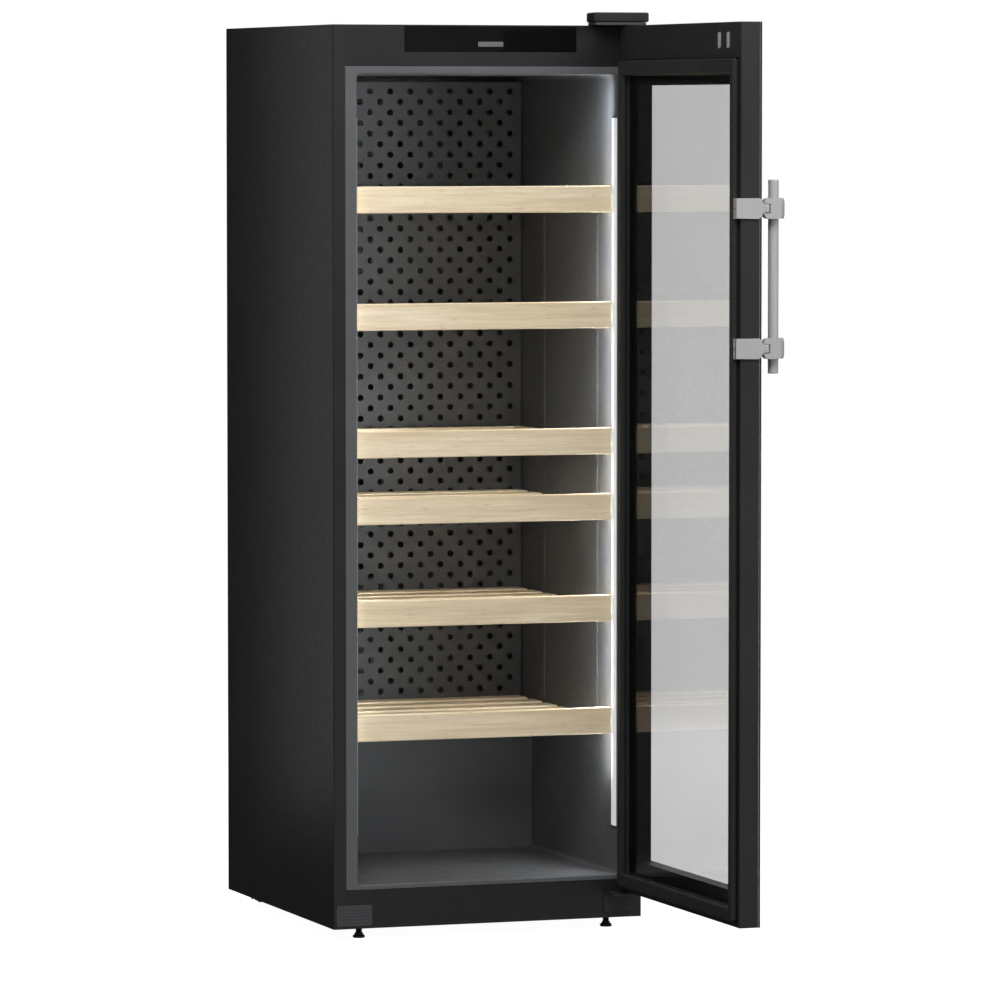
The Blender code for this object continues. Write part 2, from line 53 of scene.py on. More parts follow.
ORIGIN = Vector((CORNER.x, CORNER.y, 0))
PLACE = Matrix.Translation(ORIGIN)
HINGE = next(Vector(j["pos_m"]) for j in frame["joints"] if j["name"] == "door_hinge") - ORIGIN
AXIS = Matrix.Translation((HINGE.x, HINGE.y, 0))
SWING = AXIS @ Matrix.Rotation(math.pi / 2, 4, "Z") @ AXIS.inverted()

INSIDE_X, INSIDE_Z = (0.0465, 0.5505), (0.100, 1.570)  # opening of the inner liner
LINER_BACK = 0.585  # inner face of the liner's rear wall
STEP_Y, STEP_Z = 0.466, 0.325  # step over the compressor: its front and its top
CLEAR_X, CLEAR_Z = (0.055, 0.519), (0.1345, 1.5505)  # clear part of the door glass
OUTER_PRINT_Y, INNER_PRINT_Y = (-0.0480, -0.0478), (-0.0203, -0.0201)  # borders on the panes
LOOK = {}  # materials, by the name of their slot or by a name of their own


def span(node, shut=False):
    """Lowest and highest corner of a CAD node in cabinet coordinates, or with the door shut."""
    lo, hi = (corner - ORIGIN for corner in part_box(node))
    if shut:
        a, b = SWING.inverted() @ lo, SWING.inverted() @ hi
        lo, hi = Vector(map(min, a, b)), Vector(map(max, a, b))
    return lo, hi


# ---------------------------------------------------------------- mesh helpers
def arc(cx, cy, r, start, end, steps=6):
    angles = [math.radians(start + (end - start) * k / steps) for k in range(steps + 1)]
    return [(cx + r * math.cos(a), cy + r * math.sin(a)) for a in angles]


def polygon(r, sides, cx=0.0, cy=0.0):
    turns = [2 * math.pi * k / sides for k in range(sides)]
    return [(cx + r * math.cos(t), cy + r * math.sin(t)) for t in turns]


def soften(bm, edges, radius, steps):
    """Round the edges; one that is listed twice is taken once."""
    bmesh.ops.bevel(bm, geom=list(dict.fromkeys(edges)), offset=radius, segments=steps,
                    profile=0.5, affect="EDGES", clamp_overlap=True)


def block(bm, lo, hi, radius, steps=3):
    """Box with rounded edges."""
    verts = bmesh.ops.create_cube(bm, size=1.0)["verts"]
    for v in verts:
        v.co = [lo[i] if v.co[i] < 0 else hi[i] for i in range(3)]
    soften(bm, [e for v in verts for e in v.link_edges], radius, steps)


def slab(bm, outline, low, high, radius=0.0, steps=2, axis="z"):
    """Prism on an outline; a radius rounds its two end rims."""
    place = {"z": lambda a, b, c: (a, b, c),
             "x": lambda a, b, c: (c, a, b),
             "y": lambda a, b, c: (a, c, b)}[axis]
    ends = [[bm.verts.new(place(a, b, c)) for a, b in outline] for c in (low, high)]
    faces = [bm.faces.new(ends[0][::-1]), bm.faces.new(ends[1])]
    count = len(outline)
    for i in range(count):
        j = (i + 1) % count
        bm.faces.new((ends[0][i], ends[0][j], ends[1][j], ends[1][i]))
    if radius:
        soften(bm, [e for f in faces for e in f.edges], radius, steps)


def loft(bm, rows, closed=False):
    """Skin through rows of points; the ends are capped unless the skin closes on itself."""
    rows = [[bm.verts.new(p) for p in row] for row in rows]
    count = len(rows[0])
    for a, b in list(zip(rows, rows[1:])) + ([(rows[-1], rows[0])] if closed else []):
        for i in range(count):
            j = (i + 1) % count
            bm.faces.new((a[i], a[j], b[j], b[i]))
    if not closed:
        bm.faces.new(rows[0][::-1])
        bm.faces.new(rows[-1])


def rect(x, z, y, r, grow=0.0):
    """Upright rounded rectangle at depth y, made larger all round by grow."""
    smallest, steps = 0.0003, 5
    x, z, r = (x[0] - grow, x[1] + grow), (z[0] - grow, z[1] + grow), max(r + grow, smallest)
    corners = ((x[1] - r, z[1] - r, 0), (x[0] + r, z[1] - r, 90),
               (x[0] + r, z[0] + r, 180), (x[1] - r, z[0] + r, 270))
    return [(a, y, b) for cx, cz, start in corners
            for a, b in arc(cx, cz, r, start, start + 90, steps)]


def front_outline(lo, hi, r):
    """Rounded rectangle round a node, seen from the front."""
    return [(a, c) for a, _, c in rect((lo.x, hi.x), (lo.z, hi.z), 0, r)]


def lathe(bm, profile, place, sides, closed=False):
    """Turn an (r, z) profile about Z, then place it."""
    smallest = 0.00005
    rows = []
    for r, z in profile:
        ring = polygon(max(r, smallest), sides)
        rows.append([place @ Vector((a, b, z)) for a, b in ring])
    loft(bm, rows, closed)


def upright(x, y, z):
    return Matrix.Translation((x, y, z))


def along_x(x, y, z):
    return Matrix.Translation((x, y, z)) @ Matrix.Rotation(math.pi / 2, 4, "Y")


def along_y(x, y, z):
    return Matrix.Translation((x, y, z)) @ Matrix.Rotation(-math.pi / 2, 4, "X")


def piece(name, bm, body, slot, replaces=(), shut=False, smooth=40, look=None):
    """Finish a mesh as one named piece that rides on a body."""
    bmesh.ops.transform(bm, matrix=PLACE @ SWING if shut else PLACE, verts=bm.verts)
    bmesh.ops.recalc_face_normals(bm, faces=bm.faces)
    mesh = bpy.data.meshes.new(name)
    bm.to_mesh(mesh)
    bm.free()
    mesh.shade_smooth()
    mesh.set_sharp_from_angle(angle=math.radians(smooth))
    mesh.materials.append(look or LOOK[slot])
    made = bpy.data.objects.new(name, mesh)
    bpy.context.scene.collection.objects.link(made)
    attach(made, body)
    if replaces:
        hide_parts(*replaces)
    flat = made.modifiers.new("flat_faces", "WEIGHTED_NORMAL")
    flat.keep_sharp, flat.weight = True, 100
    return made


# ---------------------------------------------------------------- materials
def wire(tree, kind, links=(), **values):
    """Add a shader node; each of its inputs in links gets another node's output or a value."""
    made = tree.nodes.new(kind)
    for key, value in values.items():
        setattr(made, key, value)
    for socket, source in dict(links).items():
        if isinstance(source, bpy.types.NodeSocket):
            tree.links.new(source, made.inputs[socket])
        else:
            made.inputs[socket].default_value = source
    return made


def grade(tree, source, low, high, start, end):
    """Map the range from start to end of a value onto the range from low to high."""
    links = {"Value": source, "From Min": start, "From Max": end, "To Min": low, "To Max": high}
    return wire(tree, "ShaderNodeMapRange", links).outputs["Result"]


class Surface:
    """A Principled material whose looks come from textures in object space."""

    def __init__(self, name, rough=0.5, metal=0.0, **sockets):
        self.material = bpy.data.materials.new(name)
        self.material.use_nodes = True
        self.tree = self.material.node_tree
        self.shader = self.tree.nodes["Principled BSDF"]
        self.shader.inputs["Roughness"].default_value = rough
        self.shader.inputs["Metallic"].default_value = metal
        for key, value in sockets.items():
            self.shader.inputs[key.replace("_", " ")].default_value = value
        self.coords = self.tree.nodes.new("ShaderNodeTexCoord").outputs["Object"]

    def node(self, kind, links=(), **values):
        return wire(self.tree, kind, links, **values)

    def noise(self, scale, stretch=(1, 1, 1), detail=3.0, rough=0.5, distort=0.0):
        place = self.node("ShaderNodeMapping", {"Vector": self.coords, "Scale": stretch})
        links = {"Vector": place.outputs[0], "Scale": scale, "Detail": detail,
                 "Roughness": rough, "Distortion": distort}
        return self.node("ShaderNodeTexNoise", links).outputs["Fac"]

    def ramp(self, source, stops):
        made = self.node("ShaderNodeValToRGB", {"Fac": source})
        stops = [(at, (*c, 1.0) if isinstance(c, tuple) else (c, c, c, 1.0)) for at, c in stops]
        ends = made.color_ramp.elements
        for end, (at, colour) in zip(ends, (stops[0], stops[-1])):
            end.position, end.color = at, colour
        for at, colour in stops[1:-1]:
            ends.new(at).color = colour
        return made.outputs["Color"]

    def spread(self, source, low, high, start=0.3, end=0.7):
        return grade(self.tree, source, low, high, start, end)

    def blend(self, factor, a, b):
        made = self.node("ShaderNodeMix", {0: factor, 6: a, 7: b}, data_type="RGBA")
        return made.outputs[2]

    def drive(self, socket, source):
        self.tree.links.new(source, self.shader.inputs[socket])

    def relief(self, height, distance, strength):
        links = {"Height": height, "Distance": distance, "Strength": strength}
        self.drive("Normal", self.node("ShaderNodeBump", links).outputs["Normal"])


def coating(name, dark, light, rough, grain, depth, metal=0.0, strength=0.5, **sockets):
    """General finish: soft cloudy colour, uneven gloss and a fine raised texture."""
    s = Surface(name, metal=metal, **sockets)
    cloud, gloss = 7.0, 63.0
    clouds = s.noise(cloud, detail=4.0)
    fine = s.noise(grain, detail=2.0)
    s.drive("Base Color", s.blend(s.spread(fine, 0.0, 0.35),
                                  s.ramp(clouds, ((0.35, dark), (0.65, light))),
                                  s.ramp(clouds, ((0.3, light), (0.7, dark)))))
    s.drive("Roughness", s.spread(s.noise(gloss, detail=3.0), *rough))
    s.relief(fine, depth, strength)
    return s.material


def beech(name, along):
    """Light beech: growth bands and short dark flecks that run along the board."""
    s = Surface(name, Specular_IOR_Level=0.35)
    band, thread, dash = {"x": ((1.2, 16, 16), (9, 320, 320), (34, 620, 620)),
                          "y": ((16, 1.2, 16), (320, 9, 320), (620, 34, 620))}[along]
    bands = s.noise(2.2, band, detail=5.0, distort=0.6)
    fibre = s.noise(1.0, thread, detail=4.0, rough=0.6)
    fleck = s.noise(1.0, dash, detail=1.0)
    wood = s.ramp(bands, ((0.30, (0.690, 0.555, 0.370)), (0.50, (0.800, 0.675, 0.475)),
                          (0.72, (0.870, 0.765, 0.575))))
    wood = s.blend(s.spread(fibre, 0.0, 0.45), wood, (0.52, 0.39, 0.23, 1.0))
    wood = s.blend(s.spread(fleck, 0.0, 0.5, 0.66, 0.76), wood, (0.36, 0.22, 0.11, 1.0))
    s.drive("Base Color", wood)
    s.drive("Roughness", s.spread(fibre, 0.42, 0.62))
    s.relief(fibre, 0.0002, 0.35)
    return s.material


def galvanised(name, tone):
    """Zinc-coated sheet with flat spangles of slightly different brightness."""
    s = Surface(name, metal=1.0)
    cells = s.node("ShaderNodeTexVoronoi", {"Vector": s.coords, "Scale": 75.0}).outputs["Color"]
    grey = s.node("ShaderNodeSeparateColor", {"Color": cells}).outputs["Red"]
    s.drive("Base Color", s.ramp(grey, ((0.0, tuple(0.90 * c for c in tone)), (1.0, tone))))
    s.drive("Roughness", s.spread(grey, 0.42, 0.50, 0.0, 1.0))
    s.relief(s.noise(260.0, detail=3.0), 0.0001, 0.25)
    return s.material


def brushed(name, dark, light, stretch, metal):
    """Satin metal or metallised plastic, brushed along one direction."""
    s = Surface(name, metal=metal)
    lines = s.noise(1.0, stretch, detail=4.0, rough=0.6)
    s.drive("Base Color", s.ramp(lines, ((0.3, dark), (0.7, light))))
    s.drive("Roughness", s.spread(lines, 0.28, 0.42))
    s.relief(lines, 0.00006, 0.3)
    return s.material


def clear_glass(name):
    """Clear pane with a faint tint and the slight unevenness of wiped glass."""
    s = Surface(name, rough=0.0, IOR=1.18, Transmission_Weight=1.0)
    haze = s.noise(5.0, detail=1.0)
    s.drive("Base Color", s.ramp(haze, ((0.3, 0.771), (0.7, 0.779))))
    s.drive("Roughness", s.spread(haze, 0.0, 0.001, 0.45, 0.8))
    return s.material


def lit_diffuser(name, strength, base):
    """Opal light cover with fine ribs across it."""
    s = Surface(name, rough=0.35)
    tone = (0.93, 0.97, 1.0)
    links = {"Vector": s.coords, "Scale": 110.0, "Distortion": 0.0}
    ribs = s.node("ShaderNodeTexWave", links, bands_direction="Z").outputs["Fac"]
    s.drive("Base Color", s.ramp(s.noise(14.0, detail=2.0), ((0.3, 0.92 * base), (0.7, base))))
    s.drive("Emission Color", s.ramp(ribs, ((0.0, tuple(0.86 * c for c in tone)), (1.0, tone))))
    s.shader.inputs["Emission Strength"].default_value = strength
    s.relief(ribs, 0.0002, 0.4)
    return s.material


def make_looks():
    """One material for each slot, and a few more for pieces that differ within their slot."""
    LOOK["black_steel"] = coating(
        "powder_coated_steel", (0.0105, 0.0107, 0.0112), (0.0150, 0.0152, 0.0158),
        (0.40, 0.47), grain=950.0, depth=0.00008, Specular_IOR_Level=0.40)
    LOOK["black_plastic"] = coating(
        "moulded_black_plastic", (0.0095, 0.0095, 0.0100), (0.0135, 0.0135, 0.0142),
        (0.46, 0.56), grain=1300.0, depth=0.0001, Specular_IOR_Level=0.38)
    LOOK["grey_plastic"] = coating(
        "moulded_grey_plastic", (0.036, 0.037, 0.039), (0.046, 0.047, 0.049),
        (0.40, 0.50), grain=1100.0, depth=0.00009)
    LOOK["frame_composite"] = coating(
        "door_frame_composite", (0.0135, 0.0135, 0.0139), (0.0180, 0.0180, 0.0184),
        (0.42, 0.52), grain=1200.0, depth=0.00008, Specular_IOR_Level=0.36)
    LOOK["panel_black"] = coating(
        "coated_duct_panel", (0.050, 0.051, 0.053), (0.066, 0.067, 0.070),
        (0.38, 0.48), grain=1000.0, depth=0.00008)
    LOOK["gloss_black"] = coating(
        "black_control_glass", (0.0030, 0.0030, 0.0034), (0.0045, 0.0045, 0.0050),
        (0.05, 0.09), grain=120.0, depth=0.00001, strength=0.1, Specular_IOR_Level=0.15)
    LOOK["silver_plastic"] = coating(
        "silver_handle_plastic", (0.400, 0.402, 0.404), (0.445, 0.447, 0.449),
        (0.34, 0.44), metal=0.35, grain=1500.0, depth=0.00005)
    LOOK["bar_silver"] = brushed(
        "silver_handle_bar", (0.42, 0.42, 0.42), (0.50, 0.50, 0.497), (700, 700, 14), 0.35)
    # Evaporator fins: a far darker grey than bare aluminium, as painted shade, so the fins behind the duct panel
    # read dark through its holes
    LOOK["fin_aluminium"] = brushed(
        "fin_aluminium", (0.20, 0.20, 0.21), (0.28, 0.28, 0.29), (500, 500, 20), 1.0)
    LOOK["zinc_steel"] = galvanised("galvanised_sheet", (0.46, 0.47, 0.48))
    LOOK["compressor_black"] = coating(
        "compressor_paint", (0.010, 0.010, 0.011), (0.016, 0.016, 0.017),
        (0.22, 0.32), grain=240.0, depth=0.0002, Coat_Weight=0.4)
    LOOK["foam"] = coating(
        "insulation_foam_skin", (0.52, 0.44, 0.27), (0.64, 0.56, 0.37),
        (0.78, 0.92), grain=320.0, depth=0.0007, strength=0.8)
    LOOK["gasket_rubber"] = coating(
        "gasket_rubber", (0.0165, 0.0165, 0.0168), (0.0210, 0.0210, 0.0213),
        (0.52, 0.64), grain=800.0, depth=0.00012, Specular_IOR_Level=0.28)
    LOOK["beech"] = beech("beech_across", "x")
    LOOK["beech_deep"] = beech("beech_deep", "y")
    LOOK["clear_glass"] = clear_glass("door_glass")
    LOOK["led_diffuser"] = lit_diffuser("led_cover", 0.50, 0.3)
    LOOK["status"] = lit_diffuser("status_light", 0.0, 0.12)
    LOOK["print"] = coating(
        "black_glass_print", (0.0012, 0.0012, 0.0013), (0.0020, 0.0020, 0.0021),
        (0.32, 0.38), grain=500.0, depth=0.00001, strength=0.1, Specular_IOR_Level=0.08)
    LOOK["liner"] = coating(
        "liner_polystyrene", (0.074, 0.077, 0.082), (0.092, 0.095, 0.100),
        (0.34, 0.44), grain=1000.0, depth=0.00008)


# ---------------------------------------------------------------- cabinet shell
def side_panel(node, right):
    """Folded sheet: flat side, rounded front fold and a front return that ends at the liner."""
    lo, hi = span(node)
    fold, sheet, flange, deep = 0.0028, 0.0010, 0.0238, hi.y
    outline = [(0, deep)] + arc(fold, fold, fold, 180, 270) + [(flange, 0), (flange, sheet)]
    outline += arc(fold, fold, fold - sheet, 270, 180) + [(sheet, deep)]
    if right:
        outline = [(hi.x - x, y) for x, y in reversed(outline)]
    bm = bmesh.new()
    slab(bm, outline, lo.z, hi.z)
    piece(node + "_sheet", bm, "cabinet", "black_steel", [node])


def liner():
    """Vacuum-formed inner liner: flat lip, rolled edge and rounded corners, then its step."""
    lo, hi = span("inner_liner")
    x, z, lip_x, lip_z = INSIDE_X, INSIDE_Z, (lo.x, hi.x), (lo.z, hi.z)
    back, wall, r, lip, lip_r, roll = LINER_BACK, 0.0012, 0.008, 0.0015, 0.004, 0.0035
    rows = [rect(x, z, back + wall, r, wall - 0.010), rect(x, z, back - 0.002, r, wall - 0.002),
            rect(x, z, back - 0.010, r, wall), rect(x, z, lip, r, wall),
            rect(lip_x, lip_z, lip, lip_r), rect(lip_x, lip_z, 0.0005, lip_r),
            rect(lip_x, lip_z, 0.0, lip_r, -0.0006)]
    for t in range(6):
        a = math.radians(18 * t)
        rows.append(rect(x, z, roll * (1 - math.cos(a)), r, roll * (1 - math.sin(a))))
    rows += [rect(x, z, back - 0.010, r), rect(x, z, back - 0.003, r, -0.003),
             rect(x, z, back, r, -0.010)]
    bm = bmesh.new()
    loft(bm, rows)
    piece("inner_liner_shell", bm, "cabinet", "grey_plastic", ["inner_liner"], look=LOOK["liner"])

    lap = wall / 2  # the step reaches into the walls
    shape = [(STEP_Y, z[0] - lap)] + arc(STEP_Y + r, STEP_Z - r, r, 180, 90)
    shape += [(back + lap, STEP_Z), (back + lap, z[0] - lap)]
    bm = bmesh.new()
    slab(bm, shape, x[0] - lap, x[1] + lap, axis="x")
    piece("inner_liner_step", bm, "cabinet", "grey_plastic", ["inner_liner"], look=LOOK["liner"])


def lower_rail():
    lo, hi = span("lower_front_rail")
    bm = bmesh.new()
    block(bm, lo, hi, 0.0008)
    piece("lower_front_rail_moulding", bm, "cabinet", "black_plastic", ["lower_front_rail"])


def spare_hinge_cover():
    """Ribbed plate over the hinge position that isn't used."""
    lo, hi = span("spare_hinge_cover_plate")
    ribs, margin, inset, half, proud = 5, 0.0075, 0.006, 0.0016, 0.0006
    bm = bmesh.new()
    slab(bm, front_outline(lo, hi, 0.004), lo.y + proud, hi.y, axis="y")
    for k in range(ribs):
        z = lo.z + margin + k * (hi.z - lo.z - 2 * margin) / (ribs - 1)
        block(bm, (lo.x + inset, lo.y, z - half), (hi.x - inset, lo.y + 2 * proud, z + half),
              0.0005, 2)
    piece("spare_hinge_cover", bm, "cabinet", "grey_plastic", ["spare_hinge_cover_plate"])


def back_panel():
    """Rear sheet with pressed stiffening beads, and its fixing screws."""
    lo, hi = span("rear_panel")
    beads, half, end, sunk, proud = 5, 0.010, 0.09, 0.0004, 0.0016
    bm = bmesh.new()
    block(bm, lo, hi, 0.0004, 1)
    for k in range(beads):
        x = lo.x + (hi.x - lo.x) * (k + 1) / (beads + 1)
        block(bm, (x - half, hi.y - sunk, lo.z + end), (x + half, hi.y + proud, hi.z - end),
              proud, 3)
    piece("rear_panel_sheet", bm, "cabinet", "zinc_steel", ["rear_panel"])

    sides, top = (lo.x + 0.010, hi.x - 0.010), hi.z - 0.012
    spots = [(x, z) for x in sides for z in (0.31, 0.66, 1.0, 1.34, top)]
    spots += [(lo.x + 0.2, top), (hi.x - 0.2, top)]
    spots += [(x, z) for x in (*sides, 0.2985) for z in (0.034, 0.278)]
    head = ((0.0048, 0.0), (0.0048, 0.0005), (0.0034, 0.0008), (0.0032, 0.0024),
            (0.0026, 0.0029), (0.0, 0.0029))
    bm = bmesh.new()
    for x, z in spots:
        lathe(bm, head, along_y(x, hi.y, z), 18)
    piece("rear_screws", bm, "cabinet", "zinc_steel")


def inlet_pins():
    """Three flat pins inside the mains inlet."""
    lo, hi = span("mains_inlet")
    inset, half_x, half_z = 0.001, 0.001, 0.002
    bm = bmesh.new()
    for x, z in ((-0.007, -0.003), (0.007, -0.003), (0.0, 0.004)):
        x, z = (lo.x + hi.x) / 2 + x, (lo.z + hi.z) / 2 + z
        block(bm, (x - half_x, lo.y + inset, z - half_z), (x + half_x, hi.y - inset, z + half_z),
              0.0004, 2)
    piece("mains_inlet_pins", bm, "cabinet", "zinc_steel")


def duct_panel():
    """Perforated air panel in front of the evaporator: staggered round holes in a folded sheet."""
    lo, hi = span("perforated_duct_panel")
    wide, high, radius, sides, count, most = 0.040, 0.020, 0.0062, 12, 60, 12
    mid, top, skin = (lo.x + hi.x) / 2 + 0.0065, hi.z - 0.0085, 0.0002
    w, h, near = wide / 2, high / 2, 0.0045
    rim = [(w, 0), (w, near), (w, h), (0, h), (-w, h), (-w, near),
           (-w, 0), (-w, -near), (-w, -h), (0, -h), (w, -h), (w, -near)]
    hole = polygon(radius, sides)
    bm = bmesh.new()

    def both(points):
        return [[bm.verts.new((x, y, z)) for x, z in points] for y in (lo.y + skin, hi.y - skin)]

    for row in range(count):
        z = top - (row + 0.5) * high
        full = most - row % 2
        start = mid - full * w
        for k in range(full):
            x = start + (k + 0.5) * wide
            outer = both([(x + a, z + b) for a, b in rim])
            inner = both([(x + a, z + b) for a, b in hole])
            for n in range(sides):
                m = (n + 1) % sides
                bm.faces.new((outer[0][n], inner[0][n], inner[0][m], outer[0][m]))
                bm.faces.new((outer[1][n], outer[1][m], inner[1][m], inner[1][n]))
                bm.faces.new((inner[0][n], inner[1][n], inner[1][m], inner[0][m]))
        if full < most:
            for edge, sign in ((start, -1), (start + full * wide, 1)):
                points = [(edge, z + b) for b in (h, near, 0.0, -near, -h)]
                points += [(edge + sign * w, z - h), (edge + sign * w, z + h)]
                for flat in both(points):
                    bm.faces.new(flat)
    bmesh.ops.remove_doubles(bm, verts=bm.verts, dist=0.00002)
    piece("perforated_panel_sheet", bm, "cabinet", "panel_black", ["perforated_duct_panel"])

    x, z, low = (lo.x, hi.x), (lo.z, hi.z), top - count * high
    lap, r, out, bend, fold = 0.0004, 0.004, 0.0003, -0.0012, hi.y + 0.006
    holes_x = (mid - most * w + lap, mid + most * w - lap)
    holes_z = (low + lap, top - lap)
    rows = [rect(x, z, fold, r), rect(x, z, lo.y + 0.001, r), rect(x, z, lo.y - out, r, bend),
            rect(holes_x, holes_z, lo.y - out, 0.001), rect(holes_x, holes_z, hi.y + out, 0.001),
            rect(x, z, hi.y + out, r, bend), rect(x, z, fold, r, bend)]
    bm = bmesh.new()
    loft(bm, rows, closed=True)
    piece("perforated_panel_border", bm, "cabinet", "panel_black", ["perforated_duct_panel"])


def light_strip(node):
    """Thin opal cover in a side wall, with two end caps."""
    lo, hi = span(node)
    cap, inset = 0.004, 0.001
    bm = bmesh.new()
    block(bm, (lo.x, lo.y + inset, lo.z + cap), (hi.x, hi.y - inset, hi.z - cap), 0.0007)
    piece(node + "_cover", bm, "cabinet", "led_diffuser", [node])
    bm = bmesh.new()
    for low, high in ((lo.z, lo.z + cap), (hi.z - cap, hi.z)):
        block(bm, (lo.x, lo.y, low), (hi.x, hi.y, high), 0.0005)
    piece(node + "_caps", bm, "cabinet", "grey_plastic", [node])


# ---------------------------------------------------------------- shelves
def rack(node):
    """Two ribbed uprights on a side wall, and one C-shaped slide rail for each shelf."""
    lo, hi = span(node)
    pitch, wide, strip, rib = 0.022, 0.024, 0.0012, (0.0013, 0.0022)

    def x(out):
        return hi.x - out if node.endswith("right") else lo.x + out

    bm = bmesh.new()
    for y in (lo.y + 0.045, hi.y - 0.069):
        outline = ((0, y), (strip, y), (strip, y + wide), (0, y + wide))
        slab(bm, [(x(a), b) for a, b in outline], lo.z, hi.z, 0.0003)
        near, far = sorted(map(x, rib))
        for k in range(int((hi.z - lo.z) / pitch)):
            z = lo.z + pitch / 2 + pitch * k
            block(bm, (near, y + 0.003, z - 0.005), (far, y + wide - 0.003, z + 0.005), 0.0006, 2)
    piece(node + "_uprights", bm, "cabinet", "black_steel", [node], look=LOOK["liner"])

    rail = [(0.0023, -0.005), (0.0118, -0.005), (0.0118, -0.0022), (0.0108, -0.0022),
            (0.0108, -0.0040), (0.0035, -0.0040), (0.0035, 0.0040), (0.0108, 0.0040),
            (0.0108, 0.0022), (0.0118, 0.0022), (0.0118, 0.005), (0.0023, 0.005)]
    up = 0.021  # from the bottom of a shelf's front board to the middle of its slide
    bm = bmesh.new()
    for number in range(1, 7):
        z = span("shelf_front_%d" % number)[0].z + up
        loft(bm, [[(x(a), y, z + b) for a, b in rail] for y in (lo.y, hi.y)])
    piece(node + "_slides", bm, "cabinet", "black_steel", [node])


def shelf(number):
    """Front board, two side pieces and cross slats; shelf 3 is an open frame without slats."""
    body, is_open = "shelf_%d" % number, number == 3
    lo, hi = span("shelf_front_%d" % number)
    bm = bmesh.new()
    block(bm, lo, hi, 0.0022, 4)
    piece("shelf_board_%d" % number, bm, body, "beech", ["shelf_front_%d" % number])

    node = ("shelf_frame_%d" if is_open else "shelf_slats_%d") % number
    lo, hi = span(node)
    stile, rail, slat, gaps, joint = 0.018, 0.020, 0.050, 5, 0.0002
    middle = lo.z + 0.0100  # the stiles lie below it, the slats above
    bm = bmesh.new()
    for x in (lo.x, hi.x - stile):
        block(bm, (x, lo.y, lo.z), (x + stile, hi.y, middle - joint), 0.0012)
    if is_open:
        cross = [(lo.y, lo.y + rail), (hi.y - rail, hi.y)]
        for x in (lo.x, hi.x - stile):
            block(bm, (x, lo.y + rail + joint, middle), (x + stile, hi.y - rail - joint, hi.z),
                  0.0016)
    else:
        pitch = (hi.y - lo.y - slat) / gaps
        cross = [(lo.y + n * pitch, lo.y + n * pitch + slat) for n in range(gaps + 1)]
    piece("shelf_stiles_%d" % number, bm, body, "beech", [node], look=LOOK["beech_deep"])

    head = ((0.0, 0.0), (0.0033, 0.0), (0.0033, 0.0006), (0.0026, 0.0012), (0.0, 0.0013))
    bm, heads = bmesh.new(), bmesh.new()
    for a, b in cross:
        block(bm, (lo.x, a, middle), (hi.x, b, hi.z), 0.0020)
        for x in (lo.x + stile / 2, hi.x - stile / 2):
            lathe(heads, head, upright(x, (a + b) / 2, hi.z - 0.0009), 16)
    piece("shelf_cross_slats_%d" % number, bm, body, "beech", [node])
    piece("shelf_screws_%d" % number, heads, body, "zinc_steel")


# ---------------------------------------------------------------- feet, rollers, hinges
def levelling_foot(side):
    """Threaded foot with a flared pad and a hexagon for the spanner."""
    lo, hi = span("levelling_foot_" + side)
    x, y, top, pitch = (lo.x + hi.x) / 2, (lo.y + hi.y) / 2, hi.z, 0.0012
    profile = [(0.0, 0.0), (0.0098, 0.0), (0.0110, 0.0008), (0.0112, 0.0022),
               (0.0104, 0.0046), (0.0078, 0.0064)]
    z = 0.0070
    while z < top - pitch:
        profile += [(0.0052, z), (0.0060, z + pitch / 2)]
        z += pitch
    bm = bmesh.new()
    lathe(bm, profile + [(0.0050, top)], upright(x, y, 0), 36)
    slab(bm, polygon(0.0082, 6, x, y), 0.0064, 0.0094, 0.0006)
    piece("foot_" + side, bm, side + "_foot", "black_plastic", ["levelling_foot_" + side])


def roller(side):
    """Rear roller with a bored hub, recessed sides and a rounded tread."""
    lo, hi = span("rear_roller_" + side)
    centre, half, r, recess = (lo + hi) / 2, (hi.x - lo.x) / 2, (hi.z - lo.z) / 2, 0.0012
    profile = [(0.0036, -half), (0.0052, -half), (0.0054, recess - half), (0.0068, recess - half),
               (r - 0.0010, -half), (r, 0.0014 - half)]
    profile += [(a, -b) for a, b in reversed(profile)]
    bm = bmesh.new()
    lathe(bm, profile, along_x(*centre), 40, closed=True)
    piece("roller_" + side, bm, side + "_roller", "black_plastic", ["rear_roller_" + side])


def hinge_cover():
    """Cap over the upper hinge, with its left end cut at a slant."""
    lo, hi = span("upper_hinge_cover")
    slant = 0.0170
    bm = bmesh.new()
    slab(bm, [(lo.x + slant, hi.y), lo.xy, (hi.x, lo.y), hi.xy], lo.z, hi.z, 0.0030, 4)
    piece("hinge_cover_cap", bm, "cabinet", "black_plastic", ["upper_hinge_cover"])


